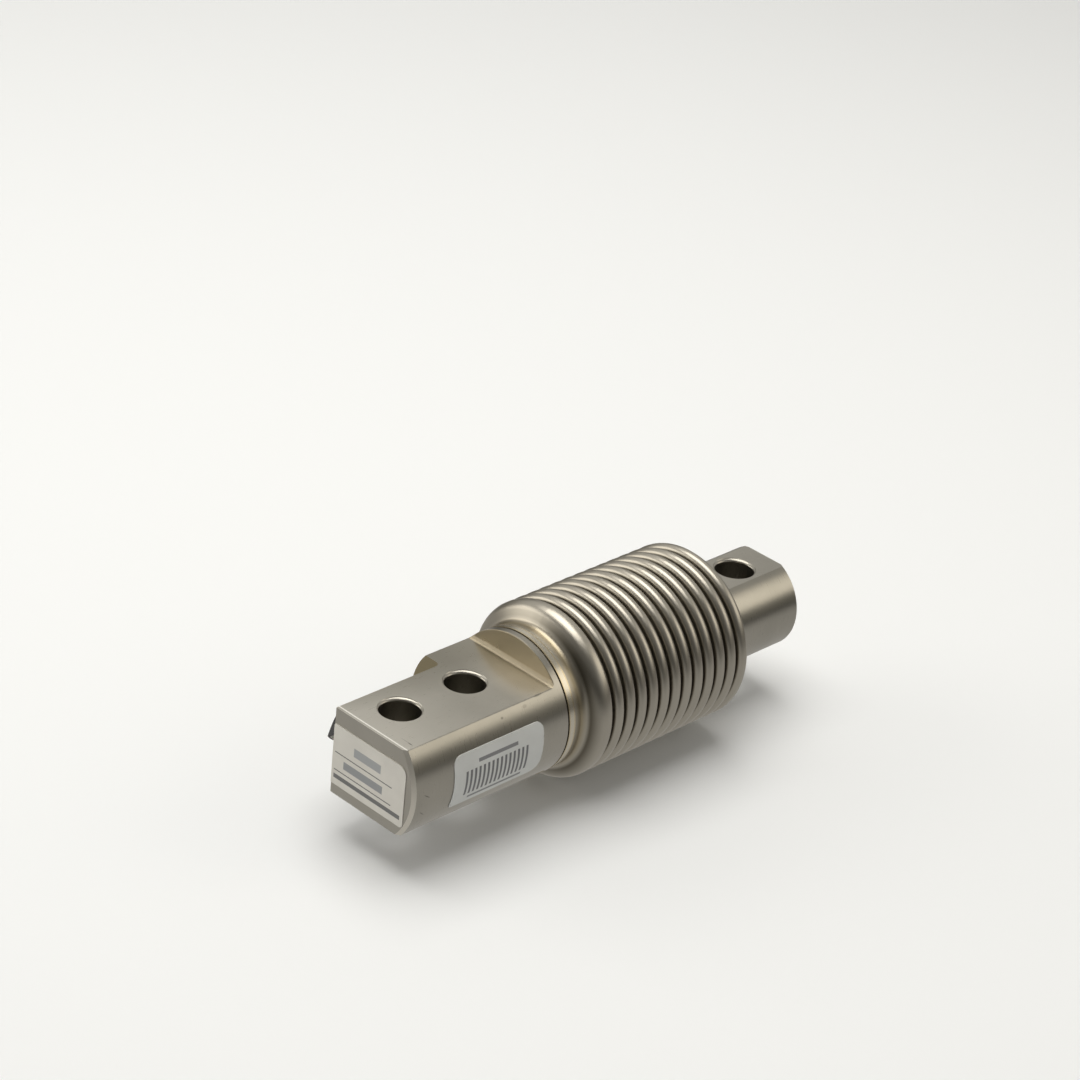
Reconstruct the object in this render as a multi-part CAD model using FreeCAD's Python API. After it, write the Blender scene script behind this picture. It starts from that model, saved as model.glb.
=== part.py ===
import FreeCAD, Part
import math
import os

from FreeCAD import Vector

os.makedirs("parts", exist_ok=True)

# Bending beam load cell. A stainless bar is bolted down by its two-hole block and carries the load at
# its far end. Between them its waist is a double bending beam with strain gauges, sealed by a bellows.
# Everything is drawn with x from the block's end face and the bar's axis at y = z = 0. It is moved to
# the part's own origin, the middle of the two mounting holes on the lower flat, as it is saved.

# Whole cell
LENGTH = 120.0
EDGE_TO_HOLE = 10.0
HOLE_PITCH = 18.0
HOLE_TO_LOAD_HOLE = 82.0
HOLE_DIAMETER = 9.0
FLAT_THICKNESS = 20.0

# Mounting block, collar and load end
BAR_DIAMETER = 32.0
LOAD_END_DIAMETER = 23.0
SIDE_FLAT_Y = 8.0
NOTCH_LENGTH = 28.5
NOTCH_CORNER = 1.3
BLOCK_LENGTH = 41.6
COLLAR_WIDTH = 1.8
LOAD_FLATS_START = 98.8
FLAT_FILLET = 1.0
END_CHAMFER = 0.75
LOAD_CHAMFER = 0.4
HOLE_CHAMFER = 0.25
EDGE_BREAK = 0.2
RIM_BREAK = 0.12

# Bellows
CREST_DIAMETER = 39.3
ROOT_DIAMETER = 32.4
CONVOLUTIONS = 13
PITCH = 3.45
CREST_WIDTH = 2.54
CREST_ROUND = 1.15
ROOT_BEVEL = 0.3
BELLOWS_WALL = 0.25
FIRST_CREST_X = 51.9
FRONT_CUFF_START = 43.65
FLARE_FOOT_X = 47.9
FLARE_ROUND = 1.4
FLARE_SHOULDER_X = 49.85
FLARE_SHOULDER_ROUND = 2.5
SEAT_DIAMETER = 31.0
DISH_FOOT_X = 95.6
DISH_ROUND = 1.4
REAR_CUFF_END = 98.4

# Weld rings over the two cuffs
RING_THICKNESS = 0.25
FRONT_RING_END = 45.3
REAR_RING_START = 97.0

# Inner beam
CORE_START = 47.0
CORE_END = 93.0
CORE_DIAMETER = 27.0
CORE_SHOULDER = 1.5
BEAM_WIDTH = 18.0
BEAM_HEIGHT = 19.0
BEAM_FILLET = 1.5
WINDOW_PITCH = 18.0
WINDOW_RADIUS = 7.75
WINDOW_SLOT = 6.0

# Strain gauges: a film with the measuring grid and its tabs as a raised field
GAUGE_LENGTH = 7.0
GAUGE_WIDTH = 5.0
GAUGE_FILM = 0.1
GRID_LENGTH = 3.6
GRID_WIDTH = 3.2
GRID_MARGIN = 0.5
TAB_SIZE = 1.1
TAB_MARGIN = 0.3

# Terminal board, its bonding pad, resistors and wires
BOARD_GAP = 0.2
BOARD_LENGTH = 12.0
BOARD_HEIGHT = 13.0
BOARD_THICKNESS = 0.8
PAD_LENGTH = 3.4
PAD_HEIGHT = 10.0
PAD_THICKNESS = 0.9
RESISTOR_LENGTH = 3.2
RESISTOR_WIDTH = 1.6
RESISTOR_HEIGHT = 0.6
RESISTOR_PITCH = 2.8
RESISTORS = 4
SOLDER_DIAMETER = 1.2
SOLDER_HEIGHT = 0.3
SOLDER_PITCH = 2.1
CORE_SOLDER_X = 4.0
WIRE_SOLDER_X = 10.6
WIRE_DIAMETER = 0.6
WIRE_BEND = 2.5
WIRE_SET_BACK = 1.0
WIRE_DROP = 1.6
WIRE_OVER_EDGE = 0.2
WIRE_OUT = 2.4
WIRE_FAR_OUT = 3.6
WIRE_LANDING = 1.2
WIRE_RISE = 0.9

# Cable, its cores and its gland
CABLE_DIAMETER = 4.4
CORE_WIRE_DIAMETER = 0.9
CORE_WIRE_OFFSET = 0.6
CORE_WIRE_BEND = 3.0
CORE_WIRE_FAN = 2.2
GLAND_Y = 12.3
GLAND_BORE = 5.6
GLAND_DEPTH = 7.5
DUCT_DIAMETER = 3.6
NUT_FLATS = 6.0
NUT_HEAD = 3.0
NUT_CHAMFER = 0.5
NUT_CHAMFER_RUN = 0.3
NUT_SHANK = 2.4
CABLE_CLEARANCE = 0.1
CLAMP_RING = 0.5
SEAL_LENGTH = 3.4
PLUG_START = 38.0
PLUG_LENGTH = 5.0
SHEATH_END = 35.8
CABLE_ROUTE = [(35.8, 12.3, 0.0), (22.6, 12.3, 0.0), (17.2, 13.2, 0.8), (12.0, 13.8, 2.2),
               (7.6, 13.3, 2.2), (4.4, 11.5, -0.9)]

# Labels. A rounded corner is given as its side, its level (1 is upper) and its radius.
LABEL_THICKNESS = 0.15
END_LABEL_WIDTH = 21.4
END_LABEL_HEIGHT = 14.0
END_LABEL_Z = -0.6
END_LABEL_CORNERS = [(-1, 1, 2.0), (-1, -1, 0.9), (1, 1, 0.5)]
SIDE_LABEL_LENGTH = 25.0
SIDE_LABEL_HEIGHT = 12.1
SIDE_LABEL_X = 23.5
SIDE_LABEL_Z = -0.35
SIDE_LABEL_CORNERS = [(-1, 1, 2.1), (1, 1, 2.1), (1, -1, 2.4), (-1, -1, 0.7)]

# Worked out from the sizes above
HALF = FLAT_THICKNESS / 2
BAR_R = BAR_DIAMETER / 2
LOAD_R = LOAD_END_DIAMETER / 2
SEAT_R = SEAT_DIAMETER / 2
CORE_R = CORE_DIAMETER / 2
CREST_R = CREST_DIAMETER / 2
ROOT_R = ROOT_DIAMETER / 2
HOLE_R = HOLE_DIAMETER / 2
COLLAR_END = BLOCK_LENGTH + COLLAR_WIDTH
HOLES_X = (EDGE_TO_HOLE, EDGE_TO_HOLE + HOLE_PITCH)
LOAD_HOLE_X = HOLES_X[1] + HOLE_TO_LOAD_HOLE
WEBS_X = ((CORE_START + CORE_END - WINDOW_PITCH) / 2, (CORE_START + CORE_END + WINDOW_PITCH) / 2)
SIDE = BEAM_WIDTH / 2
TAB_Y = GAUGE_WIDTH / 4
TOP = BEAM_HEIGHT / 2
BOARD_X = CORE_START + CORE_SHOULDER + BEAM_FILLET + BOARD_GAP
BOARD_Y = SIDE + PAD_THICKNESS
BOARD_FACE = BOARD_Y + BOARD_THICKNESS
JOINT_TOP = BOARD_FACE + SOLDER_HEIGHT
CABLE_R = CABLE_DIAMETER / 2
ORIGIN = Vector(-(EDGE_TO_HOLE + HOLE_PITCH / 2), 0, HALF)
ALONG = Vector(1, 0, 0)
ACROSS = Vector(0, 1, 0)
UP = Vector(0, 0, 1)
FAR = 60.0


def save(name, shape):
    placed = shape.copy()
    placed.translate(ORIGIN)
    placed.exportStep("parts/" + name + ".step")
    print(name, "valid", placed.isValid(), "solids", len(placed.Solids), "volume", round(placed.Volume, 2))


def block(x0, x1, y0, y1, z0, z1):
    return Part.makeBox(x1 - x0, y1 - y0, z1 - z0, Vector(x0, y0, z0))


def rod(radius, x0, x1, y=0.0, z=0.0):
    return Part.makeCylinder(radius, x1 - x0, Vector(x0, y, z), ALONG)


def tube(inner, outer, x0, x1, y=0.0):
    return rod(outer, x0, x1, y).cut(rod(inner, x0, x1, y))


def turned(outline, axis):
    """Turn a closed outline, given as corners in the plane y = 0, once round an axis."""
    corners = [Vector(x, 0, z) for x, z in outline]
    face = Part.Face(Part.makePolygon(corners + corners[:1]))
    return face.revolve(Vector(), axis, 360)


def rounded_path(corners, radii):
    """Straight runs joined by tangent arcs: one radius for each corner between the ends, or 0 for none."""
    corners = [Vector(*corner) for corner in corners]
    edges = []
    here = corners[0]
    for index, radius in enumerate(radii, start=1):
        corner = corners[index]
        back = (corners[index - 1] - corner).normalize()
        ahead = (corners[index + 1] - corner).normalize()
        opening = back.getAngle(ahead) / 2
        setback = radius / math.tan(opening)
        first = corner + back * setback
        last = corner + ahead * setback
        if (first - here).Length > 1e-6:
            edges.append(Part.LineSegment(here, first).toShape())
        if radius:
            centre = corner + (back + ahead).normalize() * (radius / math.sin(opening))
            middle = centre + (corner - centre).normalize() * radius
            edges.append(Part.Arc(first, middle, last).toShape())
        here = last
    edges.append(Part.LineSegment(here, corners[-1]).toShape())
    return Part.Wire(edges)


def straight_runs(path):
    """The corners of a path whose arcs are each cut short by two chords."""
    points = [path.OrderedEdges[0].valueAt(path.OrderedEdges[0].FirstParameter)]
    for edge, end in zip(path.OrderedEdges, path.OrderedVertexes[1:]):
        if not isinstance(edge.Curve, Part.Line):
            points.append(edge.valueAt((edge.FirstParameter + edge.LastParameter) / 2))
        points.append(end.Point)
    return points


def even_radii(corners):
    """The largest easy radius at each corner: 0.45 of the shorter run over the tangent of half the turn."""
    corners = [Vector(*corner) for corner in corners]
    radii = []
    for before, corner, after in zip(corners, corners[1:], corners[2:]):
        turn = (corner - before).getAngle(after - corner)
        shorter = min((corner - before).Length, (after - corner).Length)
        radii.append(0.45 * shorter / math.tan(turn / 2))
    return radii


def swept(path, radius):
    """A round wire or cable along a path."""
    start = path.OrderedEdges[0]
    way = start.tangentAt(start.FirstParameter)
    ring = Part.Wire(Part.makeCircle(radius, start.valueAt(start.FirstParameter), way))
    return path.makePipeShell([ring], True, False)


def milled_flat(x0, x1, height, radius, turn):
    """What a mill takes off beside one flat, rounded where the flat runs up to a shoulder of the bar."""
    cutter = block(x0, x1, -FAR, FAR, height, FAR)
    shoulders = [edge for edge in cutter.Edges
                 if edge.BoundBox.YLength > FAR and edge.BoundBox.ZMax < height + 1e-6
                 and 0 < edge.BoundBox.XMin < LENGTH]
    cutter = cutter.makeFillet(radius, shoulders)
    cutter.rotate(Vector(), ALONG, turn)
    return cutter


def notch_cutter():
    """The clearance milled beside the mounting holes for the cable, with the mill's round corner."""
    cutter = block(-1, NOTCH_LENGTH, SIDE_FLAT_Y, FAR, -FAR, FAR)
    corner = [edge for edge in cutter.Edges
              if edge.BoundBox.ZLength > FAR and edge.BoundBox.XMin > 0 and edge.BoundBox.YMax < FAR]
    return cutter.makeFillet(NOTCH_CORNER, corner)


def beam_window():
    """Two cross bores joined by a slot leave four thin webs, which bend as the load bears down."""
    bores = [Part.makeCylinder(WINDOW_RADIUS, 2 * FAR, Vector(x, -FAR, 0), ACROSS) for x in WEBS_X]
    slot = block(WEBS_X[0], WEBS_X[1], -FAR, FAR, -WINDOW_SLOT / 2, WINDOW_SLOT / 2)
    return bores[0].fuse([bores[1], slot])


def drilled_hole(x):
    """A through hole with a small chamfer at both mouths."""
    mouth = HOLE_R + HOLE_CHAMFER + 1
    hole = turned([(0, -HALF - 1), (mouth, -HALF - 1), (HOLE_R, -HALF + HOLE_CHAMFER),
                   (HOLE_R, HALF - HOLE_CHAMFER), (mouth, HALF + 1), (0, HALF + 1)], UP)
    hole.translate(Vector(x, 0, 0))
    return hole


def measuring_body():
    bar = turned([(0, 0), (0, BAR_R - END_CHAMFER), (END_CHAMFER, BAR_R), (COLLAR_END - EDGE_BREAK, BAR_R),
                  (COLLAR_END, BAR_R - EDGE_BREAK), (COLLAR_END, SEAT_R), (CORE_START, SEAT_R),
                  (CORE_START, CORE_R), (CORE_END, CORE_R), (CORE_END, LOAD_R),
                  (LENGTH - LOAD_CHAMFER, LOAD_R), (LENGTH, LOAD_R - LOAD_CHAMFER), (LENGTH, 0)], ALONG)
    cutters = [notch_cutter(), beam_window()]
    beam_ends = (CORE_START + CORE_SHOULDER, CORE_END - CORE_SHOULDER)
    for turn in (0, 180):
        cutters.append(milled_flat(-1, BLOCK_LENGTH, HALF, FLAT_FILLET, turn))
        cutters.append(milled_flat(LOAD_FLATS_START, LENGTH + 1, HALF, FLAT_FILLET, turn))
        cutters.append(milled_flat(*beam_ends, TOP, BEAM_FILLET, turn))
        cutters.append(milled_flat(*beam_ends, SIDE, BEAM_FILLET, turn + 90))
    cutters += [drilled_hole(x) for x in HOLES_X + (LOAD_HOLE_X,)]
    cutters.append(rod(GLAND_BORE / 2, NOTCH_LENGTH - 1, NOTCH_LENGTH + GLAND_DEPTH, GLAND_Y))
    cutters.append(rod(DUCT_DIAMETER / 2, NOTCH_LENGTH, beam_ends[0] + 1, GLAND_Y))
    body = bar.cut(cutters).removeSplitter()
    rims = [edge for edge in body.Edges if isinstance(edge.Curve, Part.Circle)
            and abs(edge.Curve.Radius - BAR_R) < 1e-6 and abs(edge.Curve.Center.x - BLOCK_LENGTH) < 1e-6]
    return body.makeChamfer(RIM_BREAK, rims)


def bellows():
    """One thin wall: front cuff, flare, convolutions, and the dished end that closes on the load end.

    The flare's broad shoulder is the near side of the first crest.
    """
    cuff_r = SEAT_R + BELLOWS_WALL
    corners = [(FRONT_CUFF_START, 0, cuff_r), (FLARE_FOOT_X, 0, cuff_r)]
    radii = [FLARE_ROUND]
    for turn in range(CONVOLUTIONS):
        near = FIRST_CREST_X + turn * PITCH - CREST_WIDTH / 2
        far = near + CREST_WIDTH
        if turn:
            before = near - PITCH + CREST_WIDTH
            corners += [(before, 0, ROOT_R + ROOT_BEVEL), (before + ROOT_BEVEL, 0, ROOT_R),
                        (near - ROOT_BEVEL, 0, ROOT_R), (near, 0, ROOT_R + ROOT_BEVEL)]
            radii += [0, 0, 0, 0]
            corners.append((near, 0, CREST_R))
            radii.append(CREST_ROUND)
        else:
            corners.append((FLARE_SHOULDER_X, 0, CREST_R))
            radii.append(FLARE_SHOULDER_ROUND)
        corners.append((far, 0, CREST_R))
        radii.append(CREST_ROUND)
    rear_r = LOAD_R + BELLOWS_WALL
    corners += [(DISH_FOOT_X, 0, rear_r), (REAR_CUFF_END, 0, rear_r)]
    radii.append(DISH_ROUND)
    outer = rounded_path(corners, radii)
    inner = straight_runs(outer.makeOffset2D(-BELLOWS_WALL, 0, False, True, False))
    if inner[0].x > inner[-1].x:
        inner.reverse()
    ends = [Part.makePolygon([outer.OrderedVertexes[end].Point, inner[end]]) for end in (0, -1)]
    section = Part.Wire(Part.__sortEdges__(outer.Edges + Part.makePolygon(inner).Edges
                                           + ends[0].Edges + ends[1].Edges))
    return Part.Face(section).revolve(Vector(), ALONG, 360)


def strain_gauge(x, turn):
    """Film, measuring grid and two solder tabs, on the upper face of one web or turned to a lower one."""
    near = x - GAUGE_LENGTH / 2
    far = x + GAUGE_LENGTH / 2
    film_top = TOP + GAUGE_FILM
    film = block(near, far, -GAUGE_WIDTH / 2, GAUGE_WIDTH / 2, TOP, film_top)
    grid = block(near + GRID_MARGIN, near + GRID_MARGIN + GRID_LENGTH, -GRID_WIDTH / 2, GRID_WIDTH / 2,
                 film_top, film_top + GAUGE_FILM / 2)
    gauge = film.fuse(grid)
    for y in (-TAB_Y, TAB_Y):
        gauge = gauge.fuse(block(far - TAB_MARGIN - TAB_SIZE, far - TAB_MARGIN, y - TAB_SIZE / 2,
                                 y + TAB_SIZE / 2, film_top, film_top + GAUGE_FILM))
    gauge.rotate(Vector(), ALONG, turn)
    return gauge.removeSplitter()


def terminal_board():
    return block(BOARD_X, BOARD_X + BOARD_LENGTH, BOARD_Y, BOARD_FACE, -BOARD_HEIGHT / 2, BOARD_HEIGHT / 2)


def board_pad():
    return block(BOARD_X, BOARD_X + PAD_LENGTH, SIDE, BOARD_Y, -PAD_HEIGHT / 2, PAD_HEIGHT / 2)


def solder_places(along):
    """One column of four joints across the board, at a distance from its front edge."""
    return [(BOARD_X + along, BOARD_FACE, row * SOLDER_PITCH) for row in (-2, -1, 1, 2)]


def solder_joints():
    """The near column takes the cable's cores and the far one the gauges' wires."""
    places = solder_places(CORE_SOLDER_X) + solder_places(WIRE_SOLDER_X)
    return Part.makeCompound([Part.makeCone(SOLDER_DIAMETER / 2, SOLDER_DIAMETER / 4, SOLDER_HEIGHT,
                                            Vector(*place), ACROSS) for place in places])


def trim_resistors():
    middle = BOARD_X + (CORE_SOLDER_X + WIRE_SOLDER_X) / 2
    levels = [(place - (RESISTORS - 1) / 2) * RESISTOR_PITCH for place in range(RESISTORS)]
    return Part.makeCompound([block(middle - RESISTOR_LENGTH / 2, middle + RESISTOR_LENGTH / 2,
                                    BOARD_FACE, BOARD_FACE + RESISTOR_HEIGHT,
                                    z - RESISTOR_WIDTH / 2, z + RESISTOR_WIDTH / 2) for z in levels])


def gauge_wires(turn_up):
    """Two insulated wires from the gauges over the beam's edge and down to the board."""
    joints = [place for place in solder_places(WIRE_SOLDER_X) if place[2] * turn_up > 0]
    joints.sort(key=lambda place: -abs(place[2]))
    wires = []
    for x, (joint_x, _, joint_z) in zip(WEBS_X, joints):
        tab_x = x + GAUGE_LENGTH / 2 - TAB_MARGIN - TAB_SIZE / 2
        level = TOP + 2 * GAUGE_FILM + WIRE_DIAMETER / 2
        points = [(tab_x, TAB_Y, turn_up * level),
                  (tab_x, SIDE + WIRE_OVER_EDGE, turn_up * (level + WIRE_DIAMETER)),
                  (tab_x - WIRE_SET_BACK, SIDE + WIRE_OUT, turn_up * (level - WIRE_DROP)),
                  (joint_x + WIRE_LANDING, SIDE + WIRE_FAR_OUT, turn_up * (abs(joint_z) + WIRE_DROP)),
                  (joint_x, JOINT_TOP + WIRE_RISE, joint_z),
                  (joint_x, JOINT_TOP, joint_z)]
        radii = [min(radius, WIRE_BEND) for radius in even_radii(points)]
        wires.append(swept(rounded_path(points, radii), WIRE_DIAMETER / 2))
    return Part.makeCompound(wires)


def core_places():
    return [(y, z) for z in (-CORE_WIRE_OFFSET, CORE_WIRE_OFFSET)
            for y in (GLAND_Y - CORE_WIRE_OFFSET, GLAND_Y + CORE_WIRE_OFFSET)]


def cable_cores():
    """Four insulated cores from the sheath's end, through the duct, fanned out to the board's joints."""
    fan_start = BOARD_X + CORE_WIRE_DIAMETER / 2
    cores = []
    for (y, z), (joint_x, _, joint_z) in zip(core_places(), solder_places(CORE_SOLDER_X)):
        over = y + CORE_WIRE_OFFSET
        points = [(SHEATH_END, y, z), (fan_start, y, z), (fan_start + CORE_WIRE_FAN, over, joint_z),
                  (joint_x, over, joint_z), (joint_x, JOINT_TOP, joint_z)]
        radii = [min(radius, CORE_WIRE_BEND) for radius in even_radii(points)]
        cores.append(swept(rounded_path(points, radii), CORE_WIRE_DIAMETER / 2))
    return Part.makeCompound(cores)


def duct_plug(cores):
    return rod(DUCT_DIAMETER / 2, PLUG_START, PLUG_START + PLUG_LENGTH, GLAND_Y).cut(cores)


def gland_nut():
    """A hexagon head on the step face, with a shank that screws into the bore and squeezes the seal."""
    corner = NUT_FLATS / math.sqrt(3)
    head_x = NOTCH_LENGTH - NUT_HEAD
    points = [Vector(head_x, GLAND_Y + corner * math.sin(math.radians(60 * k)),
                     corner * math.cos(math.radians(60 * k))) for k in range(6)]
    head = Part.Face(Part.makePolygon(points + points[:1])).extrude(ALONG * NUT_HEAD)
    rounded = turned([(head_x, 0), (head_x, corner - NUT_CHAMFER), (head_x + NUT_CHAMFER_RUN, corner),
                      (NOTCH_LENGTH, corner), (NOTCH_LENGTH, 0)], ALONG)
    rounded.translate(Vector(0, GLAND_Y, 0))
    shank = rod(GLAND_BORE / 2, NOTCH_LENGTH, NOTCH_LENGTH + NUT_SHANK, GLAND_Y)
    bore = rod(CABLE_R + CABLE_CLEARANCE, head_x - 1, NOTCH_LENGTH + NUT_SHANK + 1, GLAND_Y)
    return head.common(rounded).fuse(shank).cut(bore).removeSplitter()


def gland_clamp_ring():
    x = NOTCH_LENGTH + NUT_SHANK
    return tube(CABLE_R + CABLE_CLEARANCE, GLAND_BORE / 2, x, x + CLAMP_RING, GLAND_Y)


def gland_seal():
    x = NOTCH_LENGTH + NUT_SHANK + CLAMP_RING
    return tube(CABLE_R, GLAND_BORE / 2, x, x + SEAL_LENGTH, GLAND_Y)


def cable():
    radii = even_radii(CABLE_ROUTE)
    path = rounded_path(CABLE_ROUTE, radii)
    sheath = swept(path, CABLE_R)
    print("cable length", round(path.Length, 2), "radii", [round(radius, 1) for radius in radii])
    return sheath


def rounded_corners(film, through, sideways, middle, corners):
    """Round a film's corners, the edges that run through its thickness."""
    for side, level, radius in corners:
        corner = [edge for edge in film.Edges
                  if abs(edge.tangentAt(edge.FirstParameter).dot(through)) > 0.999
                  and (edge.CenterOfMass - middle).dot(sideways) * side > 0
                  and (edge.CenterOfMass - middle).dot(UP) * level > 0]
        film = film.makeFillet(radius, corner)
    return film


def end_label():
    """Film on the end face, flush with the side flat."""
    film = block(-LABEL_THICKNESS, 0, SIDE_FLAT_Y - END_LABEL_WIDTH, SIDE_FLAT_Y,
                 END_LABEL_Z - END_LABEL_HEIGHT / 2, END_LABEL_Z + END_LABEL_HEIGHT / 2)
    middle = Vector(0, SIDE_FLAT_Y - END_LABEL_WIDTH / 2, END_LABEL_Z)
    return rounded_corners(film, ALONG, ACROSS, middle, END_LABEL_CORNERS)


def side_label():
    """Film that follows the round side."""
    stamp = block(SIDE_LABEL_X - SIDE_LABEL_LENGTH / 2, SIDE_LABEL_X + SIDE_LABEL_LENGTH / 2, -FAR, 0,
                  SIDE_LABEL_Z - SIDE_LABEL_HEIGHT / 2, SIDE_LABEL_Z + SIDE_LABEL_HEIGHT / 2)
    stamp = rounded_corners(stamp, ACROSS, ALONG, Vector(SIDE_LABEL_X, 0, SIDE_LABEL_Z), SIDE_LABEL_CORNERS)
    return tube(BAR_R, BAR_R + LABEL_THICKNESS, 0, BLOCK_LENGTH).common(stamp)


def build():
    save("measuring_body", measuring_body())
    save("bellows", bellows())
    front_r = SEAT_R + BELLOWS_WALL
    save("front_weld_ring", tube(front_r, front_r + RING_THICKNESS, FRONT_CUFF_START, FRONT_RING_END))
    rear_r = LOAD_R + BELLOWS_WALL
    save("rear_weld_ring", tube(rear_r, rear_r + RING_THICKNESS, REAR_RING_START, REAR_CUFF_END))
    for face, turn in (("top", 0), ("bottom", 180)):
        for place, x in zip(("front", "rear"), WEBS_X):
            save("gauge_" + face + "_" + place, strain_gauge(x, turn))
    save("board_pad", board_pad())
    save("terminal_board", terminal_board())
    save("trim_resistors", trim_resistors())
    save("solder_joints", solder_joints())
    save("gauge_wires_top", gauge_wires(1))
    save("gauge_wires_bottom", gauge_wires(-1))
    cores = cable_cores()
    save("cable_cores", cores)
    save("duct_plug", duct_plug(cores))
    save("gland_nut", gland_nut())
    save("gland_clamp_ring", gland_clamp_ring())
    save("gland_seal", gland_seal())
    save("cable", cable())
    save("end_label", end_label())
    save("side_label", side_label())


build()
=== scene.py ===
import math

import bmesh
import bpy
from mathutils import Matrix, Vector


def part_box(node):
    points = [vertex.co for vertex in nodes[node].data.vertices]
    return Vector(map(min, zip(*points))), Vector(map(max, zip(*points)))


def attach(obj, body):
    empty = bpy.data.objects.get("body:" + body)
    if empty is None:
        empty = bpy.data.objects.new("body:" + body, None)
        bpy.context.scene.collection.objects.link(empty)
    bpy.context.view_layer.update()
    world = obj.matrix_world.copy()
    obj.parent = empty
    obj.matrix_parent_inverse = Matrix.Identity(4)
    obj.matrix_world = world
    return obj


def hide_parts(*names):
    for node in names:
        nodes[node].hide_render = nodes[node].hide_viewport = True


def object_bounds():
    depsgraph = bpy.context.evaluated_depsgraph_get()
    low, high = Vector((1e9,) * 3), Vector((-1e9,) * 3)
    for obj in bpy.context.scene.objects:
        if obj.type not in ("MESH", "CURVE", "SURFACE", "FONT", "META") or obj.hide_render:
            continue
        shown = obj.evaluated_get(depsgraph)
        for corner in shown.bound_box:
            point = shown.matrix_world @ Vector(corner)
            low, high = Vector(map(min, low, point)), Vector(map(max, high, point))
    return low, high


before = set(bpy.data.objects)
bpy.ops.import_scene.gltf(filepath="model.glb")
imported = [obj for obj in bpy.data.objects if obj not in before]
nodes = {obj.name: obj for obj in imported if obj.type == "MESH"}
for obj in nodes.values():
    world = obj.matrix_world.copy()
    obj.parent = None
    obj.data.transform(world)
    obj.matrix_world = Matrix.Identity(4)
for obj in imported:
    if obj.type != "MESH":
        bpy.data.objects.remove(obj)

cad_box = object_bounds()


# Studio. The cell lies on a plain pale floor, under a warm soft box, in a room that is dark at eye level and
# lightest halfway up its walls. The camera stands where the photograph was taken from, with a long lens.
def join(owner, output, socket):
    owner.node_tree.links.new(output, socket)


camera = bpy.data.objects.new("camera", bpy.data.cameras.new("camera"))
camera.data.sensor_width = 36.0
camera.data.lens = 108.94
camera.data.clip_start = 0.01
camera.data.clip_end = 30.0
camera.matrix_world = Matrix(((0.7104, 0.27706, -0.64697, -0.404392),
                              (-0.69771, 0.39789, -0.59572, -0.3972),
                              (0.09237, 0.8746, 0.47597, 0.364769),
                              (0, 0, 0, 1)))
bpy.context.scene.collection.objects.link(camera)
bpy.context.scene.camera = camera
bpy.context.scene.view_settings.view_transform = "Standard"

FLOOR_SIZE = 8.0
FLOOR_GAP = 0.00002
REFLECTED_GLOW_MIDDLE = (0.04, 0, cad_box[0].z)
floor_mesh = bpy.data.meshes.new("floor")
floor_bm = bmesh.new()
bmesh.ops.create_grid(floor_bm, x_segments=1, y_segments=1, size=FLOOR_SIZE / 2)
bmesh.ops.translate(floor_bm, verts=floor_bm.verts, vec=(0, 0, cad_box[0].z - FLOOR_GAP))
floor_bm.to_mesh(floor_mesh)
floor_bm.free()
floor = bpy.data.objects.new("floor", floor_mesh)
bpy.context.scene.collection.objects.link(floor)
floor_paint = bpy.data.materials.new("floor_paint")
floor_paint.use_nodes = True
floor_nodes = floor_paint.node_tree.nodes
floor_shader = floor_nodes["Principled BSDF"]
floor_shader.inputs["Base Color"].default_value = (0.85, 0.872, 0.9, 1)
floor_shader.inputs["Roughness"].default_value = 0.7
floor_shader.inputs["Specular IOR Level"].default_value = 0.2
# In the steel's gloss the floor is swapped for a painted reflection: an even glow, dimmer than the floor,
# that fades out a hand's width away.
reflected_glow = floor_nodes.new("ShaderNodeEmission")
reflected_glow.inputs["Color"].default_value = (1.0, 0.972, 0.915, 1)
from_cell = floor_nodes.new("ShaderNodeVectorMath")
from_cell.operation = "DISTANCE"
from_cell.inputs[1].default_value = REFLECTED_GLOW_MIDDLE
reflected_glow_edge = floor_nodes.new("ShaderNodeMapRange")
for edge_input, value in (("From Min", 0.13), ("From Max", 0.26), ("To Min", 0.5), ("To Max", 0.07)):
    reflected_glow_edge.inputs[edge_input].default_value = value
floor_place = floor_nodes.new("ShaderNodeTexCoord")
ray_kind = floor_nodes.new("ShaderNodeLightPath")
floor_or_reflected_glow = floor_nodes.new("ShaderNodeMixShader")
join(floor_paint, floor_place.outputs["Object"], from_cell.inputs[0])
join(floor_paint, from_cell.outputs["Value"], reflected_glow_edge.inputs["Value"])
join(floor_paint, reflected_glow_edge.outputs["Result"], reflected_glow.inputs["Strength"])
join(floor_paint, ray_kind.outputs["Is Glossy Ray"], floor_or_reflected_glow.inputs["Fac"])
join(floor_paint, floor_shader.outputs["BSDF"], floor_or_reflected_glow.inputs[1])
join(floor_paint, reflected_glow.outputs["Emission"], floor_or_reflected_glow.inputs[2])
join(floor_paint, floor_or_reflected_glow.outputs["Shader"], floor_nodes["Material Output"].inputs["Surface"])
floor_mesh.materials.append(floor_paint)

room = bpy.data.worlds.new("room")
room.use_nodes = True
bpy.context.scene.world = room
room_nodes = room.node_tree.nodes
direction = room_nodes.new("ShaderNodeTexCoord")
split = room_nodes.new("ShaderNodeSeparateXYZ")
height = room_nodes.new("ShaderNodeValToRGB")
height.color_ramp.interpolation = "EASE"
height.color_ramp.elements[0].position = 0.0
height.color_ramp.elements[0].color = (0.17, 0.16, 0.135, 1)
height.color_ramp.elements[1].position = 1.0
height.color_ramp.elements[1].color = (0.4, 0.39, 0.37, 1)
for position, colour in ((0.14, (0.18, 0.17, 0.145)), (0.4, (0.68, 0.665, 0.63)), (0.52, (0.68, 0.665, 0.63)),
                         (0.72, (0.36, 0.35, 0.32))):
    height.color_ramp.elements.new(position).color = (*colour, 1)
join(room, direction.outputs["Generated"], split.inputs["Vector"])
join(room, split.outputs["Z"], height.inputs["Fac"])
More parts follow.
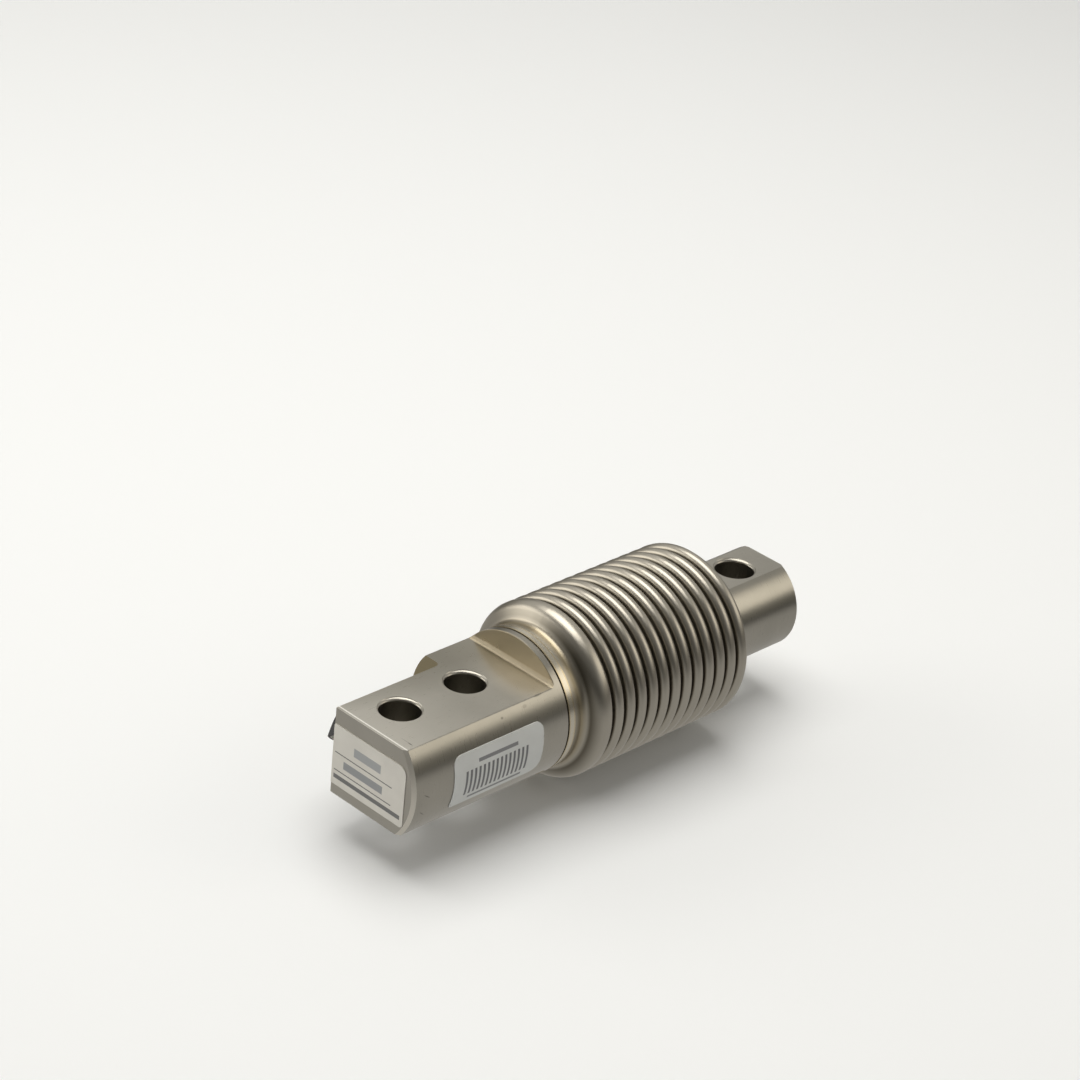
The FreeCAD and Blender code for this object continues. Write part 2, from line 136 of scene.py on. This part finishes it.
# The room is darkest behind the camera.
CAMERA_SIDE = (-0.72, -0.6, 0.35)
toward_camera = room_nodes.new("ShaderNodeVectorMath")
toward_camera.operation = "DOT_PRODUCT"
toward_camera.inputs[1].default_value = CAMERA_SIDE
dimming = room_nodes.new("ShaderNodeMapRange")
dimming.interpolation_type = "SMOOTHSTEP"
for dimming_input, value in (("From Min", 0.25), ("From Max", 0.95), ("To Min", 1.0), ("To Max", 0.26)):
    dimming.inputs[dimming_input].default_value = value
dimmed = room_nodes.new("ShaderNodeVectorMath")
dimmed.operation = "SCALE"
join(room, direction.outputs["Generated"], toward_camera.inputs[0])
join(room, toward_camera.outputs["Value"], dimming.inputs["Value"])
join(room, height.outputs["Color"], dimmed.inputs[0])
join(room, dimming.outputs["Result"], dimmed.inputs["Scale"])
join(room, dimmed.outputs["Vector"], room_nodes["Background"].inputs["Color"])
room_nodes["Background"].inputs["Strength"].default_value = 1.0

LAMP_TARGET = Vector((0.04, 0, 0.01))
for name, place, size, power, colour in (("soft_box", (0.06, 0.16, 0.8), 0.75, 5.6, (1.0, 0.97, 0.91)),
                                         ("back_left", (-0.66, 0.92, 0.24), 0.85, 4.6, (1.0, 0.955, 0.87)),
                                         ("front_right", (0.7, -0.6, 0.5), 0.5, 0.8, (1.0, 0.9, 0.72))):
    lamp = bpy.data.objects.new(name, bpy.data.lights.new(name, "AREA"))
    lamp.data.shape = "SQUARE"
    lamp.data.size = size
    lamp.data.energy = power
    lamp.data.color = colour
    lamp.location = place
    lamp.rotation_euler = (LAMP_TARGET - Vector(place)).to_track_quat("-Z", "Y").to_euler()
    bpy.context.scene.collection.objects.link(lamp)


# Measuring body. One bar of stainless steel, turned on the round parts and milled on the flats, then
# satin finished; handling has left a few dark scratches on the mounting block. Its faces carry painted sheen
# and shade.
def new_material(name):
    material = bpy.data.materials.new(name)
    material.use_nodes = True
    return material, material.node_tree.nodes["Principled BSDF"]


def dress(node_names, material):
    for node_name in node_names:
        part = nodes[node_name]
        part.data.materials.clear()
        part.data.materials.append(material)


def feed(material, value, socket):
    """Join a socket to another one, or give it a plain value."""
    if isinstance(value, bpy.types.NodeSocket):
        join(material, value, socket)
    else:
        socket.default_value = value


def combine(material, first, second, operation):
    """One step of arithmetic on two sockets or plain values."""
    node = material.node_tree.nodes.new("ShaderNodeMath")
    node.operation = operation
    feed(material, first, node.inputs[0])
    feed(material, second, node.inputs[1])
    return node.outputs["Value"]


def times(material, *factors):
    """The product of all factors; masks of 0 to 1 overlap this way."""
    product = factors[0]
    for factor in factors[1:]:
        product = combine(material, product, factor, "MULTIPLY")
    return product


def above(material, value, limit):
    """1 where a value is over its limit."""
    return combine(material, value, limit, "GREATER_THAN")


def below(material, value, limit):
    """1 where a value is under its limit."""
    return combine(material, value, limit, "LESS_THAN")


def away_from(material, value, centre):
    """How far a value is from centre, to either side."""
    return combine(material, combine(material, value, centre, "SUBTRACT"), 0.0, "ABSOLUTE")


def within(material, value, centre, reach):
    """1 where a value is within reach of centre."""
    node = material.node_tree.nodes.new("ShaderNodeMath")
    node.operation = "COMPARE"
    join(material, value, node.inputs[0])
    node.inputs[1].default_value = centre
    node.inputs[2].default_value = reach
    return node.outputs["Value"]


def distance(material, first, second):
    """The length of a vector with these two parts."""
    squares = [combine(material, part, 2.0, "POWER") for part in (first, second)]
    return combine(material, combine(material, *squares, "ADD"), 0.5, "POWER")


def remap(material, source, low, high, to_low, to_high):
    """A value that goes from to_low to to_high while the source goes from low to high."""
    ramp = material.node_tree.nodes.new("ShaderNodeMapRange")
    ramp.inputs["From Min"].default_value = low
    ramp.inputs["From Max"].default_value = high
    ramp.inputs["To Min"].default_value = to_low
    ramp.inputs["To Max"].default_value = to_high
    join(material, source, ramp.inputs["Value"])
    return ramp.outputs["Result"]


def mix_colours(material, factor, first, second):
    """Colours may be sockets or plain values."""
    mix = material.node_tree.nodes.new("ShaderNodeMix")
    mix.data_type = "RGBA"
    feed(material, factor, mix.inputs[0])
    feed(material, first, mix.inputs[6])
    feed(material, second, mix.inputs[7])
    return mix.outputs[2]


def stretched_noise(material, scale, detail=3.0):
    """Fine noise on Object coordinates, stretched by a different scale along each axis."""
    place = material.node_tree.nodes.new("ShaderNodeTexCoord")
    mapping = material.node_tree.nodes.new("ShaderNodeMapping")
    mapping.inputs["Scale"].default_value = scale
    noise = material.node_tree.nodes.new("ShaderNodeTexNoise")
    noise.inputs["Scale"].default_value = 1.0
    noise.inputs["Detail"].default_value = detail
    noise.inputs["Roughness"].default_value = 0.6
    join(material, place.outputs["Object"], mapping.inputs["Vector"])
    join(material, mapping.outputs["Vector"], noise.inputs["Vector"])
    return noise.outputs["Fac"]


def place_parts(material, kind="Object"):
    """The separate coordinates of a point, or of its normal."""
    place = material.node_tree.nodes.new("ShaderNodeTexCoord")
    parts = material.node_tree.nodes.new("ShaderNodeSeparateXYZ")
    join(material, place.outputs[kind], parts.inputs["Vector"])
    return parts.outputs


def flat_share(material):
    """1 on the milled flats, whose faces point straight up or down, and 0 on the turned rounds."""
    steep = away_from(material, place_parts(material, "Normal")["Z"], 0.0)
    return remap(material, steep, 0.97, 0.995, 0.0, 1.0)


def mark(material, centre, turn, size):
    """A soft-edged oval on the surface, 1 inside it: a scratch or a speck."""
    place = material.node_tree.nodes.new("ShaderNodeTexCoord")
    oval = material.node_tree.nodes.new("ShaderNodeMapping")
    oval.vector_type = "TEXTURE"
    oval.inputs["Location"].default_value = centre
    oval.inputs["Rotation"].default_value = turn
    oval.inputs["Scale"].default_value = size
    reach = material.node_tree.nodes.new("ShaderNodeVectorMath")
    reach.operation = "LENGTH"
    join(material, place.outputs["Object"], oval.inputs["Vector"])
    join(material, oval.outputs["Vector"], reach.inputs[0])
    return remap(material, reach.outputs["Value"], 0.5, 1.0, 1.0, 0.0)


CLOUD_SCALE = (55, 55, 55)
MILLED_SCALE = (260, 9000, 400)
LAY_GLOSS_SPREAD = 0.008
LAY_DEPTH = 0.00002


def steel(name, bright, shade, gloss, turned_scale, relief, milled_flats=True):
    """Satin stainless steel: two tones in soft clouds, a fine lay in the gloss and a trace of relief."""
    material, shader = new_material(name)
    shader.inputs["Metallic"].default_value = 1.0
    tone = remap(material, stretched_noise(material, CLOUD_SCALE, 4.0), 0.3, 0.7, 0.0, 1.0)
    lay = stretched_noise(material, turned_scale, 2.0)
    if milled_flats:
        milled = stretched_noise(material, MILLED_SCALE, 2.0)
        lay = mix_colours(material, flat_share(material), lay, milled)
    gloss_grain = remap(material, lay, 0.25, 0.75, gloss - LAY_GLOSS_SPREAD, gloss + LAY_GLOSS_SPREAD)
    join(material, gloss_grain, shader.inputs["Roughness"])
    bump = material.node_tree.nodes.new("ShaderNodeBump")
    bump.inputs["Strength"].default_value = relief
    bump.inputs["Distance"].default_value = LAY_DEPTH
    join(material, lay, bump.inputs["Height"])
    join(material, bump.outputs["Normal"], shader.inputs["Normal"])
    return material, shader, mix_colours(material, tone, shade, bright)


body_steel, body_shader, body_tone = steel("body_steel", (0.44, 0.42, 0.375, 1), (0.37, 0.355, 0.315, 1),
                                           gloss=0.28, turned_scale=(9000, 300, 300), relief=0.01)
body_place = place_parts(body_steel)
facing_x = place_parts(body_steel, "Normal")["X"]
# Places along the bar: the block's bolt holes lie evenly on both sides of the origin.
END_ZONE = -0.018
HOLE_HALF_PITCH = 0.009
BETWEEN_SHOULDERS = 0.018
REAR_SHOULDER = 0.023
LOAD_HOLE = 0.091
from_mount = away_from(body_steel, away_from(body_steel, body_place["X"], 0.0), HOLE_HALF_PITCH)
from_load = away_from(body_steel, body_place["X"], LOAD_HOLE)
# The distance from the axis of the nearest of the three holes.
from_hole = distance(body_steel, combine(body_steel, from_mount, from_load, "MINIMUM"), body_place["Y"])

# Painted sheen: the flats and the end face are painted lighter towards the block's end.
on_flats = flat_share(body_steel)
on_end = below(body_steel, body_place["X"], END_ZONE)
end_face = times(body_steel, on_end, remap(body_steel, facing_x, -0.97, -0.95, 0.45, 0.0))
painted_end_sheen = times(body_steel, remap(body_steel, body_place["X"], -0.019, 0.004, 0.7, 0.0),
               combine(body_steel, on_flats, end_face, "MAXIMUM"))
body_tone = mix_colours(body_steel, painted_end_sheen, body_tone, (0.64, 0.62, 0.565, 1))
# Painted sheen: the flats are painted brighter where they meet the shoulder.
painted_chord_sheen = times(body_steel, remap(body_steel, body_place["X"], 0.012, 0.022, 0.0, 0.5),
              below(body_steel, body_place["X"], REAR_SHOULDER), on_flats)
body_tone = mix_colours(body_steel, painted_chord_sheen, body_tone, (0.8, 0.75, 0.65, 1))
# Painted shade: the flats are painted darker towards their far corner.
far_corner = combine(body_steel, times(body_steel, body_place["X"], 0.4),
                     times(body_steel, body_place["Y"], 1.6), "ADD")
painted_far_shade = times(body_steel, remap(body_steel, far_corner, 0.0, 0.017, 0.0, 0.7),
             below(body_steel, body_place["X"], 0.05), on_flats)
body_tone = mix_colours(body_steel, painted_far_shade, body_tone, (0.25, 0.235, 0.195, 1))
# Painted reflection: the milled shoulders, which face the block's end, are straw-tinted, paler next to the
# bellows.
BESIDE_HOLE = 0.005
shoulder = times(body_steel, remap(body_steel, facing_x, -0.2, -0.05, 0.85, 0.0),
                 above(body_steel, body_place["X"], 0.0), above(body_steel, from_hole, BESIDE_HOLE))
painted_shoulder_reflection = mix_colours(body_steel, above(body_steel, body_place["X"], BETWEEN_SHOULDERS),
                            (0.33, 0.275, 0.16, 1), (0.36, 0.31, 0.22, 1))
body_tone = mix_colours(body_steel, shoulder, body_tone, painted_shoulder_reflection)
# The chamfer round the block's end is painted brighter: a painted highlight.
end_chamfer = times(body_steel, within(body_steel, facing_x, -0.707, 0.15), on_end)
body_tone = mix_colours(body_steel, end_chamfer, body_tone, (0.82, 0.79, 0.72, 1))
# Where it meets the flats, its edge carries a painted highlight line.
HIGHLIGHT_EDGE_X = -0.01828
HIGHLIGHT_HALF_WIDTH = 0.0002
painted_edge_highlight = times(body_steel, within(body_steel, body_place["X"], HIGHLIGHT_EDGE_X, HIGHLIGHT_HALF_WIDTH), on_flats)
body_tone = mix_colours(body_steel, painted_edge_highlight, body_tone, (0.97, 0.95, 0.9, 1))
# Scratches and specks, each with its centre, turn, half sizes and strength.
SCRATCHES = (((-0.0162, -0.0098, 0.02), (0, 0, 0), (0.00011, 0.0021, 0.0006), 0.35),
             ((-0.01625, -0.0109, 0.02), (0, 0, 0), (0.0002, 0.0008, 0.0006), 0.7),
             ((-0.01536, -0.016, 0.00998), (0, 0.607, 0), (0.0012, 0.0008, 0.00014), 0.6),
             ((-0.01593, -0.01543, 0.00587), (0, 0.726, 0), (0.0012, 0.0008, 0.00016), 0.5),
             ((0.0068, -0.01335, 0.0188), (0, 0, 0), (0.0004, 0.0004, 0.0003), 0.5),
             ((0.0176, -0.0125, 0.0199), (0, 0, 0), (0.0014, 0.0003, 0.0003), 0.45),
             ((0.01335, -0.0131, 0.0191), (0, 0, 0), (0.0008, 0.0005, 0.0005), 0.25))
for centre, turn, size, strength in SCRATCHES:
    scratch = times(body_steel, mark(body_steel, centre, turn, size), strength)
    body_tone = mix_colours(body_steel, scratch, body_tone, (0.07, 0.065, 0.055, 1))
join(body_steel, body_tone, body_shader.inputs["Base Color"])
# The end's chamfer and the shoulders' fillets are more matt than the rest.
MATT_ROUGHNESS = 0.25
shoulder_fillet = times(body_steel, shoulder, above(body_steel, facing_x, -0.93))
matt = times(body_steel, combine(body_steel, end_chamfer, shoulder_fillet, "MAXIMUM"), MATT_ROUGHNESS)
body_gloss = body_shader.inputs["Roughness"].links[0].from_socket
join(body_steel, combine(body_steel, body_gloss, matt, "ADD"), body_shader.inputs["Roughness"])
# The mouths of the three bolt holes are rounded over by deburring, so they catch the light from above.
HOLE_MOUTH = 0.00462
MOUTH_TILT = 1.5
in_mouth = times(body_steel, below(body_steel, from_hole, HOLE_MOUTH),
                 remap(body_steel, body_place["Z"], 0.0190, 0.0197, 0.0, 1.0))
tilt = body_steel.node_tree.nodes.new("ShaderNodeCombineXYZ")
join(body_steel, times(body_steel, in_mouth, MOUTH_TILT), tilt.inputs["Z"])
tilted = body_steel.node_tree.nodes.new("ShaderNodeVectorMath")
tilted.operation = "ADD"
join(body_steel, body_shader.inputs["Normal"].links[0].from_socket, tilted.inputs[0])
join(body_steel, tilt.outputs["Vector"], tilted.inputs[1])
unit_normal = body_steel.node_tree.nodes.new("ShaderNodeVectorMath")
unit_normal.operation = "NORMALIZE"
join(body_steel, tilted.outputs["Vector"], unit_normal.inputs[0])
join(body_steel, unit_normal.outputs["Vector"], body_shader.inputs["Normal"])
dress(["measuring_body"], body_steel)


# Bellows. A thin-walled stainless tube, hydraulically formed into round crests with a flared front end
# and a dished rear one; it seals the gauged beam and still lets it bend.
def band(material, value, start, full, fading, end):
    """1 while a value is between full and fading, falling off to 0 at start and end."""
    return times(material, remap(material, value, start, full, 0.0, 1.0),
                 remap(material, value, fading, end, 1.0, 0.0))


AXIS_HEIGHT = 0.010
FLARE_END = 0.0325
HEAT_STRENGTH = 0.7
bellows_steel, bellows_shader, bellows_tone = steel("bellows_steel", (0.46, 0.435, 0.38, 1),
                                                    (0.42, 0.395, 0.345, 1), gloss=0.35,
                                                    turned_scale=(300, 120, 120), relief=0.01,
                                                    milled_flats=False)
bellows_place = place_parts(bellows_steel)
# The front weld left a straw heat tint along the cuff and the flare's foot.
heat = times(bellows_steel, band(bellows_steel, bellows_place["X"], 0.0266, 0.0278, 0.0284, 0.0294),
             HEAT_STRENGTH)
bellows_tone = mix_colours(bellows_steel, heat, bellows_tone, (0.34, 0.28, 0.17, 1))
# Round the weld the flare carries painted shade, which fades outwards and is strongest on the -Y side.
above_axis = combine(bellows_steel, bellows_place["Z"], AXIS_HEIGHT, "SUBTRACT")
from_axis = distance(bellows_steel, bellows_place["Y"], above_axis)
painted_flare_shade = times(bellows_steel, band(bellows_steel, from_axis, 0.0164, 0.0171, 0.0173, 0.0194),
              below(bellows_steel, bellows_place["X"], FLARE_END),
              remap(bellows_steel, bellows_place["Y"], -0.011, 0.003, 0.88, 0.25))
bellows_tone = mix_colours(bellows_steel, painted_flare_shade, bellows_tone, (0.11, 0.097, 0.072, 1))
join(bellows_steel, bellows_tone, bellows_shader.inputs["Base Color"])
dress(["bellows"], bellows_steel)


# Weld rings. A narrow stainless band over each cuff of the bellows, welded through into the bar, so its
# edges carry a faint straw tint.
RING_EDGE = 0.0003
EDGE_STRENGTH = 0.7
WELD_RINGS = ["front_weld_ring", "rear_weld_ring"]
ring_steel, ring_shader, ring_tone = steel("ring_steel", (0.68, 0.635, 0.54, 1), (0.58, 0.54, 0.455, 1),
                                           gloss=0.25, turned_scale=(5000, 300, 300), relief=0.04,
                                           milled_flats=False)
ring_place = place_parts(ring_steel)
for node_name in WELD_RINGS:
    for edge in {round(corner.x, 5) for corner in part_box(node_name)}:
        at_edge = times(ring_steel, within(ring_steel, ring_place["X"], edge, RING_EDGE), EDGE_STRENGTH)
        ring_tone = mix_colours(ring_steel, at_edge, ring_tone, (0.6, 0.5, 0.32, 1))
join(ring_steel, ring_tone, ring_shader.inputs["Base Color"])
dress(WELD_RINGS, ring_steel)


# Strain gauges. Amber polyimide film with a fine copper-nickel grid and tabs, bonded to the bar over its
# thin webs, two on top and two below.
def stripes(material, value, pitch, share):
    """1 on evenly spaced stripes across one coordinate."""
    return below(material, combine(material, times(material, value, 1 / pitch), 1.0, "FRACT"), share)


FOIL_HEIGHT = 0.00961
GRID_PITCH = 0.0002
gauge_film, gauge_shader = new_material("gauge_film")
gauge_shader.inputs["Roughness"].default_value = 0.25
gauge_place = place_parts(gauge_film)
grid_lines = stripes(gauge_film, gauge_place["Y"], GRID_PITCH, 0.55)
foil = above(gauge_film, away_from(gauge_film, gauge_place["Z"], AXIS_HEIGHT), FOIL_HEIGHT)
gauge_colour = mix_colours(gauge_film, times(gauge_film, foil, grid_lines), (0.62, 0.3, 0.06, 1),
                           (0.72, 0.6, 0.45, 1))
join(gauge_film, gauge_colour, gauge_shader.inputs["Base Color"])
dress(["gauge_top_front", "gauge_top_rear", "gauge_bottom_front", "gauge_bottom_rear"], gauge_film)


# Terminal board. Green glass-fibre laminate on a grey silicone pad, with glazed trim resistors whose
# ends are tinned, and bright solder joints.
def mottled(name, colour, shade, scale, gloss, metal=0.0):
    """A material in two close tones of fine noise, whose gloss varies with the same noise."""
    material, shader = new_material(name)
    shader.inputs["Metallic"].default_value = metal
    grain = stretched_noise(material, (scale, scale, scale))
    tone = mix_colours(material, remap(material, grain, 0.35, 0.65, 0.0, 1.0), (*shade, 1), (*colour, 1))
    join(material, tone, shader.inputs["Base Color"])
    join(material, remap(material, grain, 0.3, 0.7, gloss + 0.04, gloss - 0.04), shader.inputs["Roughness"])
    return material, shader, tone


pad_silicone = mottled("pad_silicone", (0.57, 0.55, 0.5), (0.5, 0.48, 0.43), scale=900, gloss=0.72)[0]
dress(["board_pad"], pad_silicone)

board_green, board_shader = new_material("board_green")
board_shader.inputs["Roughness"].default_value = 0.3
board_place = place_parts(board_green)
tracks = times(board_green, stripes(board_green, board_place["Z"], 0.0021, 0.3),
               stripes(board_green, board_place["X"], 0.0066, 0.7))
join(board_green, mix_colours(board_green, tracks, (0.02, 0.17, 0.08, 1), (0.05, 0.3, 0.13, 1)),
     board_shader.inputs["Base Color"])
dress(["terminal_board"], board_green)

GLAZE_HALF_LENGTH = 0.00115
resistor_glaze, resistor_shader = new_material("resistor_glaze")
resistor_shader.inputs["Roughness"].default_value = 0.28
resistor_middle = sum(corner.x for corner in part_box("trim_resistors")) / 2
from_middle = away_from(resistor_glaze, place_parts(resistor_glaze)["X"], resistor_middle)
tinned = above(resistor_glaze, from_middle, GLAZE_HALF_LENGTH)
join(resistor_glaze, tinned, resistor_shader.inputs["Metallic"])
join(resistor_glaze, mix_colours(resistor_glaze, tinned, (0.02, 0.02, 0.024, 1), (0.72, 0.72, 0.7, 1)),
     resistor_shader.inputs["Base Color"])
dress(["trim_resistors"], resistor_glaze)

solder_tin = mottled("solder_tin", (0.78, 0.78, 0.76), (0.66, 0.66, 0.64),
                     scale=2500, gloss=0.22, metal=1.0)[0]
dress(["solder_joints"], solder_tin)


# Inner wiring. Enamelled gauge wires over the beam's edges, and the cable's four plastic-insulated cores
# fanned out to the board. A resin plug seals the duct that the cores run through.
wire_enamel, wire_shader = mottled("wire_enamel", (0.56, 0.31, 0.085), (0.45, 0.23, 0.06),
                                   scale=1600, gloss=0.3)[:2]
wire_shader.inputs["Coat Weight"].default_value = 0.5
dress(["gauge_wires_top", "gauge_wires_bottom"], wire_enamel)

core_plastic, core_shader, core_red = mottled("core_plastic", (0.42, 0.025, 0.02), (0.33, 0.018, 0.015),
                                              scale=1200, gloss=0.4)
upper = above(core_plastic, place_parts(core_plastic)["Z"], AXIS_HEIGHT)
join(core_plastic, mix_colours(core_plastic, upper, core_red, (0.02, 0.16, 0.05, 1)),
     core_shader.inputs["Base Color"])
dress(["cable_cores"], core_plastic)

plug_resin = mottled("plug_resin", (0.03, 0.03, 0.036), (0.016, 0.016, 0.02), scale=1500, gloss=0.22)[0]
dress(["duct_plug"], plug_resin)


# Cable gland. A nickel-plated brass nut screws into the notch's step face and squeezes a rubber seal
# round the cable through a plain brass ring.
nut_nickel = mottled("nut_nickel", (0.7, 0.67, 0.6), (0.58, 0.55, 0.48), scale=1500, gloss=0.21, metal=1.0)[0]
dress(["gland_nut"], nut_nickel)

clamp_brass = mottled("clamp_brass", (0.74, 0.52, 0.22), (0.6, 0.4, 0.15),
                      scale=1200, gloss=0.3, metal=1.0)[0]
dress(["gland_clamp_ring"], clamp_brass)

seal_rubber = mottled("seal_rubber", (0.024, 0.024, 0.024), (0.012, 0.012, 0.012), scale=1800, gloss=0.65)[0]
dress(["gland_seal"], seal_rubber)


# Cable. A dark grey plastic sheath over a braided screen and four cores. It leaves the gland, swings out
# beside the block and was cut square a few centimetres on.
SHEATH_RADIUS = 0.0022
# The sheath's route in millimetres, from the middle of the block's end.
ROUTE = ((35.8, 12.3, 0.0), (22.6, 12.3, 0.0), (17.2, 13.2, 0.8), (12.0, 13.8, 2.2), (7.6, 13.3, 2.2),
         (4.4, 11.5, -0.9))
route = [Vector(((x - 19) / 1000, y / 1000, (z + 10) / 1000)) for x, y, z in ROUTE]
cable_line = bpy.data.curves.new("cable_sheath", "CURVE")
cable_line.dimensions = "3D"
cable_line.resolution_u = 16
spline = cable_line.splines.new("NURBS")
spline.points.add(len(route) - 1)
for point, place in zip(spline.points, route):
    point.co = (*place, 1.0)
spline.order_u = 3
spline.use_endpoint_u = True
cable_line.bevel_depth = SHEATH_RADIUS
cable_line.bevel_resolution = 10
cable_line.use_fill_caps = True
cable_sheath = bpy.data.objects.new("cable_sheath", cable_line)
bpy.context.scene.collection.objects.link(cable_sheath)

sheath_plastic, sheath_shader = new_material("sheath_plastic")
sheath_cloud = stretched_noise(sheath_plastic, (700, 700, 700), 4.0)
sheath_dust = remap(sheath_plastic, sheath_cloud, 0.35, 0.7, 0.0, 1.0)
sheath_tone = mix_colours(sheath_plastic, sheath_dust, (0.012, 0.013, 0.016, 1), (0.024, 0.025, 0.029, 1))
sheath_gloss = remap(sheath_plastic, sheath_cloud, 0.3, 0.7, 0.42, 0.56)
join(sheath_plastic, sheath_tone, sheath_shader.inputs["Base Color"])
join(sheath_plastic, sheath_gloss, sheath_shader.inputs["Roughness"])
sheath_bump = sheath_plastic.node_tree.nodes.new("ShaderNodeBump")
sheath_bump.inputs["Strength"].default_value = 0.3
sheath_bump.inputs["Distance"].default_value = 0.00003
join(sheath_plastic, sheath_cloud, sheath_bump.inputs["Height"])
join(sheath_plastic, sheath_bump.outputs["Normal"], sheath_shader.inputs["Normal"])
cable_line.materials.append(sheath_plastic)

# Its cut end: the screen's bright ring round four insulated copper cores, a hair proud of the sheath.
cut_way = (route[-1] - route[-2]).normalized()
cut_turn = cut_way.to_track_quat("Z", "Y").to_matrix().to_4x4()
SCREEN_RADIUS = 0.00165
CORE_RADIUS = 0.00052
CORE_RING = 0.0008
COPPER_RADIUS = 0.00026


RIM_SHARE = 0.18
RIM_STEPS = 3


def short_rod(bm, centre, radius, height, slot_index, segments=32):
    """One short round rod standing on the cut face, with its rim slightly rounded."""
    drop = radius * RIM_SHARE
    inset = drop / math.cos(math.pi / segments)
    profile = [(radius, 0.0)]
    for step in range(RIM_STEPS + 1):
        turn = step / RIM_STEPS * math.pi / 2
        profile.append((radius - inset + inset * math.cos(turn), height - drop + drop * math.sin(turn)))
    corners = [(math.cos(2 * math.pi * corner / segments), math.sin(2 * math.pi * corner / segments))
               for corner in range(segments)]
    rings = [[bm.verts.new((centre[0] + reach * x, centre[1] + reach * y, level)) for x, y in corners]
             for reach, level in profile]
    faces = [bm.faces.new(rings[0][::-1]), bm.faces.new(rings[-1])]
    for lower, upper in zip(rings, rings[1:]):
        for corner in range(segments):
            after = (corner + 1) % segments
            faces.append(bm.faces.new((lower[corner], lower[after], upper[after], upper[corner])))
    for face in faces:
        face.material_index = slot_index


cut_mesh = bpy.data.meshes.new("cable_cut_cores")
cut_bm = bmesh.new()
short_rod(cut_bm, (0, 0), SCREEN_RADIUS, height=0.00008, slot_index=0, segments=48)
for core in range(4):
    angle = math.pi / 4 + core * math.pi / 2
    centre = (CORE_RING * math.cos(angle), CORE_RING * math.sin(angle))
    short_rod(cut_bm, centre, CORE_RADIUS, height=0.0002, slot_index=1 + core % 2)
    short_rod(cut_bm, centre, COPPER_RADIUS, height=0.0003, slot_index=3, segments=16)
cut_bm.transform(Matrix.Translation(route[-1]) @ cut_turn)
cut_bm.to_mesh(cut_mesh)
cut_bm.free()
cable_cut_cores = bpy.data.objects.new("cable_cut_cores", cut_mesh)
bpy.context.scene.collection.objects.link(cable_cut_cores)
for name, colour, metal, gloss in (("cut_screen", (0.6, 0.58, 0.54), 1.0, 0.4),
                                   ("cut_core_red", (0.35, 0.025, 0.02), 0.0, 0.4),
                                   ("cut_core_green", (0.03, 0.14, 0.05), 0.0, 0.4),
                                   ("cut_copper", (0.75, 0.36, 0.2), 1.0, 0.3)):
    dark = tuple(channel * 0.55 for channel in colour)
    cut_mesh.materials.append(mottled(name, colour, dark, 6000, gloss, metal)[0])
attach(cable_sheath, "root")
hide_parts("cable")
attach(cable_cut_cores, "root")


# Labels. Two printed film stickers, one on the block's end and one on its round side; here their print is
# plain rules, blocks and equal bars.
def printed_film(name, paper, shade, fields):
    """A satin film with plain fields printed on it: each field is its colour and its mask."""
    material, shader = new_material(name)
    cloud = stretched_noise(material, (120, 120, 120), 3.0)
    colour = mix_colours(material, remap(material, cloud, 0.3, 0.7, 0.0, 1.0), shade, paper)
    for ink, mask in fields(material, place_parts(material)):
        colour = mix_colours(material, mask, colour, ink)
    join(material, colour, shader.inputs["Base Color"])
    grain = stretched_noise(material, (2500, 2500, 2500), 2.0)
    join(material, remap(material, grain, 0.3, 0.7, 0.34, 0.46), shader.inputs["Roughness"])
    shader.inputs["Specular IOR Level"].default_value = 0.35
    return material


def block(material, across, up, centre, half):
    """1 inside a rectangle, given by its centre and its half sizes."""
    return times(material, within(material, across, centre[0], half[0]),
                 within(material, up, centre[1], half[1]))


# Each rule or block has its ink, its centre and its half sizes.
END_BLOCKS = (((0.14, 0.14, 0.14, 1), (-0.0012, 0.01005), (0.0085, 0.00012)),
              ((0.14, 0.14, 0.14, 1), (-0.0012, 0.00595), (0.0085, 0.00012)),
              ((0.3, 0.31, 0.32, 1), (-0.0012, 0.0080), (0.0058, 0.0009)),
              ((0.36, 0.37, 0.38, 1), (-0.0022, 0.0125), (0.0040, 0.0010)),
              ((0.17, 0.17, 0.17, 1), (-0.0026, 0.00445), (0.0099, 0.0005)))
SIDE_BLOCKS = (((0.22, 0.22, 0.23, 1), (0.0042, 0.0131), (0.0055, 0.0004)),
               ((0.22, 0.22, 0.23, 1), (0.0042, 0.0049), (0.0075, 0.0003)))
BAR_PITCH = 0.0012


def print_blocks(material, across, up, blocks):
    """The ink and the mask of every rule or block."""
    return [(ink, block(material, across, up, centre, half)) for ink, centre, half in blocks]


def end_fields(material, place):
    return print_blocks(material, place["Y"], place["Z"], END_BLOCKS)


def side_fields(material, place):
    bars = times(material, stripes(material, place["X"], BAR_PITCH, 0.5),
                 block(material, place["X"], place["Z"], (0.0042, 0.0088), (0.0090, 0.0029)))
    return [((0.15, 0.15, 0.16, 1), bars), *print_blocks(material, place["X"], place["Z"], SIDE_BLOCKS)]


dress(["end_label"], printed_film("end_film", (0.7, 0.68, 0.63, 1), (0.63, 0.61, 0.565, 1), end_fields))
dress(["side_label"], printed_film("side_film", (0.62, 0.63, 0.62, 1), (0.55, 0.56, 0.55, 1), side_fields))
